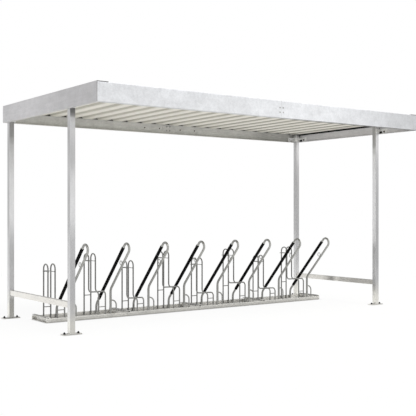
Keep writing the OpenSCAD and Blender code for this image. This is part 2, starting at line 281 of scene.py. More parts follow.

# Up Z, on each post's faces square to X, and then on its faces square to Y: painted
# shade under the roof at the tops, and painted reflections in the light and dark bands below.
POST_LEVELS = {
    "front_left": (
        [(0.0, 1.18), (0.15, 1.27), (0.3, 1.22), (0.8, 1.10), (1.1, 0.92), (1.35, 0.85), (1.6, 0.95),
         (1.95, 0.80), (2.2, 0.95)],
        [(0.0, 0.74), (0.5, 0.74), (0.9, 0.85), (1.2, 1.22), (1.5, 1.18), (1.7, 0.92), (2.04, 1.17),
         (2.10, 1.12), (2.14, 0.54), (2.165, 0.37), (2.195, 0.37)]),
    "back_left": (
        [(0.0, 1.34), (0.3, 1.25), (0.8, 1.08), (1.1, 0.88), (1.35, 0.84), (1.6, 0.88), (1.95, 0.78),
         (2.2, 0.98)],
        [(0.0, 0.62), (0.20, 0.66), (0.26, 0.98), (0.75, 0.91), (1.2, 1.31), (1.5, 1.29), (1.8, 1.12),
         (1.93, 1.04), (2.0, 0.80), (2.05, 0.60), (2.15, 0.62), (2.2, 0.68)]),
    "front_right": (
        [(0.0, 1.3), (0.1, 1.2), (0.25, 0.8), (0.45, 1.05), (0.7, 0.9), (0.85, 1.3), (1.5, 1.36),
         (1.90, 1.38), (1.98, 1.14), (2.06, 0.80), (2.2, 0.74)],
        [(0.0, 0.92), (0.3, 0.76), (0.6, 0.66), (1.3, 0.74), (1.7, 0.88), (1.9, 1.02), (2.05, 1.22),
         (2.2, 1.25)]),
    "back_right": (
        [(0.0, 1.15), (0.3, 1.3), (0.75, 1.15), (1.0, 0.92), (1.35, 0.85), (1.7, 0.85), (2.05, 0.92),
         (2.2, 0.85)],
        [(0.0, 1.17), (0.3, 1.14), (0.6, 0.85), (1.0, 0.75), (1.55, 0.76), (1.8, 0.92), (2.1, 1.28),
         (2.2, 1.2)]),
}


def lip_shade(g):
    """Painted shade on the undersides of the beams' lower flanges, most in the right half."""
    facing_down = g.remap(g.facing("Z"), -0.5, -0.8)
    lowest = g.remap(g.axis("Z"), BEAM_UNDERSIDE + 0.010, BEAM_UNDERSIDE + 0.003)
    shade_share = g.remap(g.axis("X"), -0.5, 0.5, 0.18, 0.80, smooth=True)
    return g.rest(g.product(facing_down, lowest, shade_share))


def fascia_levels(g):
    """Painted highlight right of the middle, painted shade at the right end, and painted shade under the
    lower flange.
    """
    return g.product(g.curve("X", FASCIA_LEVELS), lip_shade(g))


def back_beam_levels(g):
    """Painted shade on the inner face, darkest at the right end."""
    inner = g.remap(g.facing("Y"), 0.5, -0.5)
    return g.rest(g.product(inner, g.rest(g.curve("X", BACK_BEAM_LEVELS))))


def inner_levels(g):
    """Ledges and back splice plate, with the back beam's painted shade on all their faces."""
    return g.curve("X", BACK_BEAM_LEVELS)


def end_beam_levels(g):
    """Each end has its own tones along it, with painted shade under the lower flange and on the faces
    towards the front.
    """
    along = g.left_or_right("Y", LEFT_END_LEVELS, RIGHT_END_LEVELS)
    front_shade = g.remap(g.facing("Y"), -0.5, -0.8, 1.0, 0.3)
    return g.product(along, lip_shade(g), front_shade)


def post_levels(on_x, on_y):
    """Painted shade and painted reflections up one post, and painted shade on the base plate."""
    def levels(g):
        plate = g.remap(g.axis("Z"), PLATE_T + 0.0001, PLATE_T + 0.0025, 0.80, 1.0)
        return g.product(g.by_face(g.curve("Z", on_x), g.curve("Z", on_y)), plate)
    return levels


def rail_levels(g):
    """Each rail has its own tones along it, with painted reflections along the right one, and painted
    shade on the top.
    """
    top = g.remap(g.facing("Z"), 0.5, 0.8, 1.0, 0.45)
    return g.product(g.left_or_right("Y", LEFT_RAIL_LEVELS, RIGHT_RAIL_LEVELS), top)


def holder_levels(g):
    """Darker towards the back, and a painted highlight on top of the lying bars."""
    painted_light = g.remap(g.facing("Z"), 0.3, 0.9, 1.0, 1.9)
    return g.product(g.curve("Y", HOLDER_LEVELS), painted_light)


def hoop_levels(g):
    """Painted shade low on the legs and on top of the crown, palest below the crown."""
    return g.curve("Z", HOOP_LEVELS)


def frame_levels(g):
    """Painted light on faces square to X and towards the back, a painted contact shadow along the
    ground, and a painted highlight on top. Painted shade also darkens the end channels' upper flanges,
    between the angles."""
    low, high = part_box("base_frame_1")
    sides = g.by_face(1.25, 0.94)
    lying = g.remap(g.facing("Z"), 0.5, 0.8)
    height = g.math("MAXIMUM", g.curve("Z", FRAME_LEVELS), lying)
    back = g.remap(g.axis("Y"), 0.42, 0.60, 1.0, 1.25)
    aside = g.math("ABSOLUTE", g.math("SUBTRACT", g.axis("Y"), (low.y + high.y) / 2))
    inside = (high.y - low.y) / 2 - FRAME_T
    between = g.remap(aside, inside, inside - 0.002)
    flange = g.remap(g.axis("Z"), ANGLE_LEG - 0.002, ANGLE_LEG + 0.001, 0.0, 0.75)
    return g.product(sides, height, back, g.rest(g.product(between, flange)))


# ---- Materials -----------------------------------------------------------------

RUBBED_ZINC = (0.80, 0.80, 0.79)

# Sizes of the zinc's features, per metre
SPANGLE_SCALE = 118.0
CLOUD_SCALE = 9.5
MOTTLE_SCALE = 36.0
RUN_SCALE = 30.0
PIT_SCALE = 430.0

SPANGLE = 0.07
# Heights where the posts' painted floor light fades out, in metres
GROUND_LIGHT_LOW, GROUND_LIGHT_TOP = 0.05, 0.34
RUBBED_EDGE = 0.003
PIT_DEPTH = 0.00022
SWELL_DEPTH = 0.0012

COATING = (0.795, 0.770, 0.712)
# Colour of the painted shade in the sheets' recesses
RECESS_SHADE = (0.400, 0.384, 0.345)


def zinc(name, clean, ground_light=None, metallic=0.2, roughness=(0.40, 0.58), clouds=0.30, mottle=0.22,
         runs=0.10, grain=(1.0, 1.0, 1.0), wave=1.0, pit=0.5, levels=None):
    """Hot-dip galvanising: crystals, slow clouds, run marks along the grain, rubbed edges and
    pits, and, when given, a pale tone near the ground that paints light reflected from the floor. Levels
    adds a part's own tones."""
    g = Surface(name)
    crystals = g.cells(SPANGLE_SCALE)
    patches = g.noise(CLOUD_SCALE, detail=2.5, rough=0.5, distort=0.35)
    fine = g.noise(MOTTLE_SCALE, detail=5.0, rough=0.6)
    streaks = g.noise(RUN_SCALE, vector=g.stretched(grain))
    base = clean
    if ground_light:
        uneven = g.product(g.math("SUBTRACT", patches, 0.5), 0.25)
        height = g.math("ADD", g.axis("Z"), uneven)
        base = g.mix(g.remap(height, GROUND_LIGHT_LOW, GROUND_LIGHT_TOP, 1.0, 0.0, smooth=True), clean, ground_light)
    tone = g.total((patches, clouds), (fine, mottle), (crystals, SPANGLE), (streaks, runs))
    color = g.times(base, tone)
    if levels:
        color = g.times(color, levels(g))
    worn = g.product(g.edges(RUBBED_EDGE), g.remap(fine, 0.42, 0.6, 0.0, 0.35))
    color = g.mix(worn, color, RUBBED_ZINC)
    matt = g.math("ADD", g.product(crystals, 0.5), g.product(fine, 0.5))
    rough = g.math("SUBTRACT", g.remap(matt, 0.2, 0.8, *roughness), g.product(worn, 0.2))
    pits = g.bump(g.noise(PIT_SCALE, detail=3.0), PIT_DEPTH, pit)
    swell = g.math("ADD", patches, g.product(fine, 0.4))
    normal = g.bump(swell, SWELL_DEPTH * wave, 0.4, under=pits)
    return g.finish(color, rough, normal, metallic=metallic)


def coated_sheet():
    """Grey-white coil coating. On the underside, painted shade darkens the recesses above the
    flats, most towards the right end, and thins out over the flats beside the ribs."""
    g = Surface("coated_sheet")
    cloud = g.noise(5.0, vector=g.stretched((1.6, 0.35, 1.0)))
    streak = g.noise(42.0, rough=0.6, vector=g.stretched((1.0, 0.12, 1.0)))
    above = g.remap(g.facing("Z"), -0.1, 0.1, 1.0, 0.80)
    clean = g.times(COATING, g.product(above, g.total((cloud, 0.22), (streak, 0.20))))
    shade_level = g.product(g.curve("X", RECESS_SHADE_LEVELS), g.total((cloud, 0.30), (streak, 0.30)))
    painted_light = g.times(RECESS_SHADE, shade_level)
    height = g.math("ADD", g.axis("Z"), g.product(g.axis("Y"), SHEET_FALL))
    recess = g.remap(height, SHEET_FLAT + 0.0005, SHEET_FLAT + 0.008, smooth=True)
    ribs = g.product(g.math("SUBTRACT", g.axis("X"), sheet_low.x), 1.0 / RIB_PITCH)
    aside = g.math("ABSOLUTE", g.math("SUBTRACT", g.math("FRACT", ribs), 0.5))
    beside = g.product(g.remap(aside, 0.20, 0.46, 0.52, 0.0, smooth=True),
                       g.remap(cloud, 0.3, 0.7, 0.8, 1.2))
    below = g.remap(g.facing("Z"), -0.1, 0.1, 1.0, 0.0)
    color = g.mix(g.product(g.math("MAXIMUM", recess, beside), below), clean, painted_light)
    peel = g.bump(g.noise(850.0, detail=1.5), 0.00012, 0.5)
    return g.finish(color, g.remap(streak, 0.3, 0.7, 0.42, 0.58), peel)


def sleeve_plastic():
    """Black plastic sleeve with long dull scuffs from bicycles leaned on it."""
    g = Surface("black_sleeve")
    scuffs = g.noise(70.0, detail=6.0, rough=0.7, vector=g.stretched((3.0, 0.35, 0.35)))
    patches = g.noise(14.0, detail=3.0)
    share = g.product(g.remap(scuffs, 0.54, 0.74), g.remap(patches, 0.4, 0.7, 0.1, 0.8))
    color = g.mix(share, (0.006, 0.006, 0.006), (0.026, 0.026, 0.026))
    grain = g.bump(g.noise(520.0, detail=2.0), 0.0001, 0.4)
    return g.finish(color, g.remap(share, 0.0, 0.8, 0.80, 0.92), grain, specular=0.08)


def foam(name, dark, pale, scale, roughness, depth, specular):
    """Matt closed-cell foam with a fine crumb, and painted shade in its hollows."""
    g = Surface(name)
    crumb = g.noise(scale, detail=3.0)
    color = g.mix(g.remap(crumb, 0.3, 0.7), dark, pale)
    rough = g.remap(crumb, 0.3, 0.7, *roughness)
    return g.finish(color, rough, g.bump(crumb, depth, 0.6), specular=specular)


def dark_bolt(name, dark, worn_to):
    """Dark fasteners with small worn patches: black coated ones, and brown-grey ones whose colour is
    painted shade.
    """
    g = Surface(name)
    worn = g.noise(260.0)
    color = g.mix(g.remap(worn, 0.55, 0.75, 0.0, 0.6), dark, worn_to)
    rough = g.remap(worn, 0.3, 0.7, 0.55, 0.70)
    return g.finish(color, rough, g.bump(worn, 0.0002, 0.4), specular=0.12)


def pale_sealant():
    """Pale grey sealant, tooled flat, with fine ripples and a little dirt."""
    g = Surface("joint_sealant")
    dirt = g.noise(60.0, vector=g.stretched((1.0, 1.0, 0.3)))
    color = g.times((0.52, 0.52, 0.51), g.total((dirt, 0.5)))
    ripple = g.bump(g.noise(300.0, detail=2.0, vector=g.stretched((1.0, 1.0, 0.4))), 0.0003, 0.5)
    return g.finish(color, g.remap(dirt, 0.3, 0.7, 0.45, 0.65), ripple, specular=0.35)


FASCIA = zinc("galvanised_fascia", (0.698, 0.708, 0.735), metallic=0.12, clouds=0.36, mottle=0.30,
              grain=(0.15, 0.15, 1.0), levels=fascia_levels)
BACK_BEAM = zinc("galvanised_back_beam", (0.690, 0.690, 0.668), metallic=0.12, clouds=0.34, mottle=0.34,
                 runs=0.3, grain=(0.12, 1.0, 1.0), levels=back_beam_levels)
END_BEAM = zinc("galvanised_end_beam", (0.655, 0.648, 0.672), metallic=0.12, clouds=0.22, mottle=0.18,
                runs=0.3, grain=(0.12, 0.12, 1.0), levels=end_beam_levels)
INNER = zinc("galvanised_inner", (0.680, 0.672, 0.655), metallic=0.12, mottle=0.30,
             runs=0.3, grain=(0.12, 1.0, 1.0), levels=inner_levels)
STEEL = zinc("galvanised_steel", (0.660, 0.660, 0.665), grain=(1.0, 1.0, 0.12))
BRACKET = zinc("galvanised_bracket", (0.86, 0.86, 0.87), metallic=0.3, mottle=0.4)
# The posts' pale tone near the ground is painted light reflected from the floor
POSTS = {corner: zinc("galvanised_post_" + corner, (0.590, 0.590, 0.598), ground_light=(0.76, 0.75, 0.71),
                      metallic=0.7, roughness=(0.32, 0.44), clouds=0.13, mottle=0.10, runs=0.14,
                      grain=(1.0, 1.0, 0.10), wave=0.35, pit=0.1, levels=post_levels(*curves))
         for corner, curves in POST_LEVELS.items()}
# The rails' pale cream tone is painted light reflected from the floor
RAIL = zinc("galvanised_rail", (0.92, 0.90, 0.86), metallic=0.6, roughness=(0.32, 0.48), clouds=0.16,
            mottle=0.14, runs=0.16, grain=(1.0, 0.10, 1.0), levels=rail_levels)
FRAME = zinc("galvanised_frame", (0.72, 0.71, 0.68), metallic=0.35, clouds=0.34, mottle=0.34, runs=0.2,
             grain=(0.12, 1.0, 1.0), levels=frame_levels)
HOLDER = zinc("galvanised_holder", (0.24, 0.24, 0.23), metallic=0.6, roughness=(0.22, 0.36), clouds=0.35,
              wave=0.35, pit=0.2, levels=holder_levels)
HOOP = zinc("galvanised_hoop", (0.48, 0.48, 0.46), metallic=0.6, roughness=(0.22, 0.36), clouds=0.35,
            wave=0.35, pit=0.2, levels=hoop_levels)
WELD = zinc("weld_zinc", (0.42, 0.42, 0.41), metallic=0.4, roughness=(0.28, 0.45), mottle=0.4)
SHEET = coated_sheet()
SLEEVE = sleeve_plastic()
SEAL = foam("black_seal", (0.006, 0.006, 0.006), (0.022, 0.022, 0.021), scale=700.0,
            roughness=(0.75, 0.92), depth=0.0004, specular=0.15)
# The fillers' dark grey is partly painted shade at the ribs' ends
FILLER_FOAM = foam("filler_foam", (0.045, 0.044, 0.040), (0.090, 0.087, 0.078), scale=420.0,
                   roughness=(0.80, 0.95), depth=0.0005, specular=0.12)
BLACK_BOLT = dark_bolt("black_bolt", (0.003, 0.003, 0.003), (0.030, 0.030, 0.030))
# Its dark brown-grey is painted shade on zinc-plated nuts
BROWN_BOLT = dark_bolt("brown_bolt", (0.060, 0.050, 0.040), (0.160, 0.150, 0.130))
SEALANT = pale_sealant()

# Start of a node's name, end of it, and its material. The first match counts.
NODE_LOOKS = [(corner + "_post", "", look) for corner, look in POSTS.items()] + [
    ("", "_side_rail", RAIL),
    ("", "_head_bracket", BRACKET),
    ("", "_end_beam", END_BEAM),
    ("front_beam", "", FASCIA),
    ("back_beam", "", BACK_BEAM),
    ("back_splice_plate", "", INNER),
    ("", "_ledge", INNER),
    ("roof_sheet", "", SHEET),
    ("", "_edge_seal", SEAL),
    ("base_frame", "", FRAME),
    ("wheel_holder", "", HOLDER),
    ("lean_hoop", "", HOOP),
    ("hoop_sleeves", "", SLEEVE),
    ("", "", STEEL),
]


def node_material(name):
    """Material of a CAD node, by its name."""
    for start, end, look in NODE_LOOKS:
        if name.startswith(start) and name.endswith(end):
            return look


for name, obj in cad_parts.items():
    obj.data.materials.clear()
    obj.data.materials.append(node_material(name))


# ---- Mesh helpers --------------------------------------------------------------

M8, M10, M12, M14 = 0.008, 0.010, 0.012, 0.014

X_AXIS, Y_AXIS, Z_AXIS = (1, 0, 0), (0, 1, 0), (0, 0, 1)

SMOOTH_ANGLE = math.radians(35.0)
WELD_PITCH = 0.005
WELD_SIDES = 6


class Builder:
    """Collects shapes in one mesh and turns them into a piece of the object."""

    def __init__(self, name, material, slot="galvanised_steel"):
        self.name = name
        self.material = material
        self.slot = slot
        self.mesh = bmesh.new()

    def skin(self, rings, around=False):
        """Skins rings of equal counts. Around joins the last ring to the first."""
        rows = [[self.mesh.verts.new(p) for p in ring] for ring in rings]
        count = len(rows[0])
        pairs = list(zip(rows, rows[1:]))
        if around:
            pairs.append((rows[-1], rows[0]))
        for low, high in pairs:
            for i in range(count):
                j = (i + 1) % count
                self.mesh.faces.new((low[i], low[j], high[j], high[i]))
        if not around:
            self.mesh.faces.new(list(reversed(rows[0])))
            self.mesh.faces.new(rows[-1])

    def finish(self):
        bmesh.ops.recalc_face_normals(self.mesh, faces=self.mesh.faces)
        for edge in self.mesh.edges:
            if len(edge.link_faces) == 2:
                edge.smooth = edge.calc_face_angle(0.0) < SMOOTH_ANGLE
        for face in self.mesh.faces:
            face.smooth = True
        data = bpy.data.meshes.new(self.name)
        self.mesh.to_mesh(data)
        self.mesh.free()
        data.materials.append(self.material)
        obj = bpy.data.objects.new(self.name, data)
        bpy.context.scene.collection.objects.link(obj)
        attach(obj, "root")


def circle(at, axis, radius, sides, turn=0.0, height=0.0):
    """Ring of points round an axis, at a height along it."""
    place = Vector(axis).to_track_quat("Z", "Y").to_matrix()
    ring = []
    for i in range(sides):
        a = turn + 2 * math.pi * i / sides
        ring.append(Vector(at) + place @ Vector((radius * math.cos(a), radius * math.sin(a), height)))
    return ring


def lathe(builder, at, axis, profile, sides, turn=0.0):
    """Turned shape: profile is a list of (radius, height) along the axis."""
    builder.skin([circle(at, axis, radius, sides, turn, height) for radius, height in profile])


def hexagon(builder, at, axis, flats, height, turn):
    """Hexagon head or nut with chamfered corners."""
    corner = flats / math.sqrt(3)
    chamfer = 0.10 * flats
    profile = [(corner, 0.0), (corner, height - 0.55 * chamfer), (corner - chamfer, height)]
    lathe(builder, at, axis, profile, sides=6, turn=turn)


def washer(builder, at, axis, radius, thick):
    """Washer with a chamfered edge."""
    edge = 0.25 * thick
    lathe(builder, at, axis, [(radius, 0.0), (radius, thick - edge), (radius - edge, thick)], sides=24)


def bolt_head(builder, at, axis, size, turn):
    """Washer and hexagon head of a metric bolt, size in metres."""
    washer(builder, at, axis, 1.05 * size, 0.2 * size)
    seat = Vector(at) + Vector(axis) * 0.2 * size
    hexagon(builder, seat, axis, 1.55 * size, 0.62 * size, turn)


def bolt_nut(builder, at, axis, size, turn, thread=0.7):
    """Washer, nut and the end of the bolt that stands out of it, with its threads.
    Thread is the length of that end, in bolt sizes."""
    washer(builder, at, axis, 1.12 * size, 0.2 * size)
    seat = Vector(at) + Vector(axis) * 0.2 * size
    hexagon(builder, seat, axis, 1.58 * size, 0.8 * size, turn)
    top = seat + Vector(axis) * 0.8 * size
    crest = 0.5 * size
    root = 0.87 * crest
    pitch = 0.15 * size
    profile = [(crest, -0.1 * size)]
    height = 0.0
    while height < thread * size - pitch:
        profile += [(crest, height), (root, height + 0.5 * pitch)]
        height += pitch
    profile += [(crest, height), (0.8 * crest, thread * size)]
    lathe(builder, top, axis, profile, sides=14)


def weld(builder, points, up, bead, around=False):
    """Rippled fillet weld that follows the points; up is square to its path."""
    up = Vector(up)
    last = len(points) - 1
    rings = []
    for k, point in enumerate(points):
        before = points[k - 1] if k or around else point
        after = points[(k + 1) % len(points)] if k < last or around else point
        out = (after - before).cross(up).normalized()
        ripple = 0.13 * (-1) ** k + 0.09 * math.sin(0.9 * k + 17 * point.x + 5 * point.y)
        swell = bead * (1.0 + ripple)
        if not around and k in (0, last):
            swell *= 0.5
        ring = []
        for i in range(WELD_SIDES):
            a = 2 * math.pi * i / WELD_SIDES + 0.3
            ring.append(point + swell * (math.cos(a) * out + math.sin(a) * up))
        rings.append(ring)
    builder.skin(rings, around)


def straight(start, end, pitch=WELD_PITCH):
    """Points from start to end."""
    start, end = Vector(start), Vector(end)
    count = max(3, int((end - start).length / pitch))
    return [start.lerp(end, k / count) for k in range(count + 1)]


def rounded_loop(at, across, along, half_across, half_along, corner):
    """Even number of points round a box section with round corners."""
    at, across, along = Vector(at), Vector(across), Vector(along)
    points = []
    for sx, sy, start in ((1, 1, 0), (-1, 1, 90), (-1, -1, 180), (1, -1, 270)):
        mid = at + sx * (half_across - corner) * across + sy * (half_along - corner) * along
        for k in range(4):
            a = math.radians(start + 30 * k)
            points.append(mid + corner * (math.cos(a) * across + math.sin(a) * along))
    loop = []
    for k, point in enumerate(points):
        after = points[(k + 1) % len(points)]
        steps = max(1, int((after - point).length / WELD_PITCH))
        loop += [point.lerp(after, i / steps) for i in range(steps)]
    return loop if len(loop) % 2 == 0 else loop[:-1]


def spread(low, high, margin, steps):
    """Evenly spaced places from low to high, a margin inside both."""
    return [low + margin + k * (high - low - 2 * margin) / steps for k in range(steps + 1)]


def rib_steps(first, last):
    """Places one rib's pitch apart along X."""
    while first < last:
        yield first
        first += RIB_PITCH


def sheet_z(y):
    """Height of the underside of the roof sheets' flats."""
    return SHEET_FLAT - SHEET_FALL * y


# ---- Posts and rails -----------------------------------------------------------

POST_BEAD = 0.0040
RAIL_BEAD = 0.0028


def post_pieces():
    """Anchors through the base plates, and welds round the posts' feet and the rails' ends."""
    anchors = Builder("anchor_bolts", BLACK_BOLT)
    welds = Builder("post_welds", WELD)
    for corner in CORNERS:
        mid = center(corner + "_post")
        for k, side in enumerate((-1, 1)):
            foot = (mid.x + side * ANCHOR_PITCH / 2, mid.y, PLATE_T)
            bolt_nut(anchors, foot, Z_AXIS, M12, turn=0.4 + 0.7 * k + mid.y, thread=0.55)
        seat = (mid.x, mid.y, PLATE_T)
        loop = rounded_loop(seat, X_AXIS, Y_AXIS, POST_HALF, POST_HALF, POST_CORNER)
        weld(welds, loop, Z_AXIS, POST_BEAD, around=True)
    for name in ("left_side_rail", "right_side_rail"):
        low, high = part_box(name)
        mid = (low + high) / 2
        half_x, half_z = mid.x - low.x, mid.z - low.z
        for y in (low.y, high.y):
            loop = rounded_loop((mid.x, y, mid.z), X_AXIS, Z_AXIS, half_x, half_z, RAIL_CORNER)
            weld(welds, loop, Y_AXIS, RAIL_BEAD, around=True)
    anchors.finish()
    welds.finish()


# ---- Roof ----------------------------------------------------------------------

# Nuts on an end beam's web, and bolts in the post's face: how far before the
# bracket's front or outside the post's middle, and how far above its underside
BLACK_NUT_AHEAD, BLACK_NUT_UP = 0.017, 0.014
BROWN_NUT_AHEAD, BROWN_NUT_UP = 0.068, 0.021
POST_BOLT_OUT, POST_BOLTS_UP = 0.004, (0.016, 0.044)

BACK_NUTS_X = (-0.351, -0.132, 0.189, 0.416)
BACK_NUTS_Z = 2.260
BACK_NUTS_STAGGER = 0.003

# From the middle of a beam's joint to its bolts
JOINT_BOLT_X, JOINT_BOLT_Z = 0.023, 0.025

# Radius and height up a button head, and down into its socket
BUTTON = [(0.0085, 0.0), (0.0082, 0.0016), (0.0065, 0.0036), (0.0030, 0.0046), (0.0028, 0.0026)]

# Outer face of the sealant, across the gap from -1 to 1: how deep it sinks
SEALANT_FACE = [(-1.0, 0.0), (-0.5, 0.0004), (0.0, 0.0005), (0.5, 0.0004), (1.0, 0.0)]
SEALANT_SINK = 0.0005
SEALANT_RIPPLE = 0.00015
SEALANT_REACH = 0.98
SEALANT_BACK = BEAM_T - 0.0008

# Right half of a filler's section, from its foot up, and then the scale and place
# of its rings, from its straight part to its rounded end
FILLER = [(0.0431, 0.0005), (0.0425, 0.0016), (0.0205, 0.0322), (0.0190, 0.0333)]
FILLER_MID = 0.0169
FILLER_RINGS = [(1.0, 0.0150), (0.88, 0.0175), (0.60, 0.0185)]
FILLER_INSET = 0.021

# Section of a seal's lip: inward from the end beam's web, and up from the seal
LIP = [(0.0006, 0.0005), (0.0006, -0.0080), (0.0018, -0.0100), (0.0045, -0.0106), (0.0078, -0.0096),
       (0.0105, -0.0062), (0.0115, 0.0005)]

SCREW = 0.008
SCREW_HEAD = 0.0045
SCREW_WASHER = 0.0018
SCREW_INSET = 0.022
SCREW_MARGIN = 0.030


def bracket_bolts():
    """Nuts on the end beams' webs, and bolt heads on the posts' faces."""
    black = Builder("bracket_bolts", BLACK_BOLT)
    brown = Builder("bracket_bolts_brown", BROWN_BOLT)
    plain = Builder("bracket_bolts_plain", STEEL)
    for corner in CORNERS:
        low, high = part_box(corner + "_head_bracket")
        mid = center(corner + "_post")
        side = sign(mid.x)
        web = max(abs(low.x), abs(high.x)) - BRACKET_T
        front = mid.y - POST_HALF - BRACKET_T
        for group, ahead, up, size in ((black, BLACK_NUT_AHEAD, BLACK_NUT_UP, M14),
                                       (brown, BROWN_NUT_AHEAD, BROWN_NUT_UP, M10)):
            at = (side * web, front - ahead, low.z + up)
            bolt_nut(group, at, (-side, 0, 0), size, turn=20 * ahead)
        for up in POST_BOLTS_UP:
            at = (mid.x + side * POST_BOLT_OUT, front, low.z + up)
            bolt_head(plain, at, (0, -1, 0), M10, turn=30 * up)
    for group in (black, brown, plain):
        group.finish()


def back_beam_nuts():
    """Nuts of the back beam's own bolts, either side of its joint."""
    nuts = Builder("back_beam_nuts", BROWN_BOLT)
    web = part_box("back_beam_left")[1].y - BEAM_T
    for k, x in enumerate(BACK_NUTS_X):
        at = (x, web, BACK_NUTS_Z + BACK_NUTS_STAGGER * (k % 2))
        bolt_nut(nuts, at, (0, -1, 0), M8, turn=0.3 * k, thread=0.3)
    nuts.finish()


def splice_bolts():
    """Four button heads outside each joint, and their nuts behind the splice plate."""
    bolts = Builder("splice_bolts", WELD)
    for name, out in (("front_splice_plate", -1), ("back_splice_plate", 1)):
        low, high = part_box(name)
        mid = (low + high) / 2
        near, far = (low.y, high.y) if out < 0 else (high.y, low.y)
        for dx in (-JOINT_BOLT_X, JOINT_BOLT_X):
            for dz in (-JOINT_BOLT_Z, JOINT_BOLT_Z):
                x, z = mid.x + dx, mid.z + dz
                lathe(bolts, (x, near + out * BEAM_T, z), (0, out, 0), BUTTON, sides=18)
                bolt_nut(bolts, (x, far, z), (0, -out, 0), M10, turn=20 * dx + 9 * dz)
    bolts.finish()


def beam_joints():
    """Sealant in the gaps between the two halves of the front and back beams."""
    sealant = Builder("joint_sealant", SEALANT, "coated_sheet")
    for beam, out in (("front_beam", -1), ("back_beam", 1)):
        low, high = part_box(beam + "_left")
        gap_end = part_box(beam + "_right")[0].x
        face = low.y if out < 0 else high.y
        mid, reach = (high.x + gap_end) / 2, SEALANT_REACH * (gap_end - high.x) / 2
        rings = []
        for k, z in enumerate(spread(low.z, high.z, margin=0.001, steps=37)):
            sink = SEALANT_SINK + SEALANT_RIPPLE * math.sin(1.7 * k)
            section = [(u, sink + v) for u, v in SEALANT_FACE]
            section += [(1.0, SEALANT_BACK), (-1.0, SEALANT_BACK)]
            rings.append([(mid + reach * u, face - out * v, z) for u, v in section])
        sealant.skin(rings)
    sealant.finish()


def rib_fillers():
    """Foam fillers that close the sheets' ribs over both ledges, crowned at their ends. Their dark grey
    is partly painted shade at the ribs' ends.
    """
    fillers = Builder("rib_fillers", FILLER_FOAM, "black_seal")
    section = FILLER + [(-u, v) for u, v in reversed(FILLER)]
    ends = [(scale, -along) for scale, along in reversed(FILLER_RINGS)] + FILLER_RINGS
    for x in rib_steps(sheet_low.x + RIB_PITCH / 2, last_sheet_x - FILLER[0][0]):
        for y in (sheet_low.y + FILLER_INSET, sheet_high.y - FILLER_INSET):
            mid = sheet_z(y) + FILLER_MID
            fillers.skin([
                [(x + scale * u, y + along, mid + scale * (v - FILLER_MID)) for u, v in section]
                for scale, along in ends])
    fillers.finish()


def seal_lips():
    """Soft lips that hang from the edge seals against the end beams' webs."""
    lips = Builder("edge_seal_lips", SEAL, "black_seal")
    for name in ("left_edge_seal", "right_edge_seal"):
        low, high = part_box(name)
        side = sign(low.x)
        web = max(abs(low.x), abs(high.x))
        rings = []
        for k, y in enumerate(spread(low.y, high.y, margin=0.001, steps=70)):
            seat = sheet_z(y) - SEAL_T
            wave = 1.0 + 0.05 * math.sin(0.8 * k) + 0.04 * math.sin(2.3 * k + side)
            rings.append([(side * (web - u), y, seat + v * wave) for u, v in LIP])
        lips.skin(rings)
    lips.finish()


def sheet_screws():
    """Self-drilling screws through the sheets' flats into both ledges."""
    screws = Builder("sheet_screws", STEEL)
    for x in rib_steps(sheet_low.x + RIB_PITCH, last_sheet_x - SCREW_MARGIN):
        for y in (sheet_low.y + SCREW_INSET, sheet_high.y - SCREW_INSET):
            z = sheet_z(y) + SHEET_T
            washer(screws, (x, y, z), Z_AXIS, SCREW, SCREW_WASHER)
            hexagon(screws, (x, y, z + SCREW_WASHER), Z_AXIS, SCREW, SCREW_HEAD, turn=7 * x)
    screws.finish()


# ---- Stands --------------------------------------------------------------------

BAR_BEAD = 0.0028
HOOP_BEAD = 0.0032
TIE_BEAD = 0.0020
KEEPER_BEAD = 0.0017
BRACE_BEAD = 0.0026
RING_BEAD = 0.0022
CHANNEL_BEAD = 0.0026

# Heights where the upright beads start and stop
FOOT_BEAD_Z = (0.012, 0.043)
CHANNEL_BEAD_Z = (0.010, 0.044)

# Short beads: half their length, their pitch, and how far they lie from the middle
# of the keeper bar or ring
KEEPER_HALF, KEEPER_PITCH, KEEPER_LIFT = 0.006, 0.003, 0.004
RING_HALF, RING_PITCH, RING_ASIDE = 0.008, 0.0032, 0.0036

# How far the keeper bars' beads stand off the holder's bars, and the brace bars'
# beads sink into the hoops
KEEPER_OFF = 0.0005
BRACE_SINK = 0.0008

# Insets of the ground anchors from a base frame's left, right and long sides
ANCHOR_LEFT, ANCHOR_RIGHT, ANCHOR_ASIDE = 0.018, 0.022, 0.028


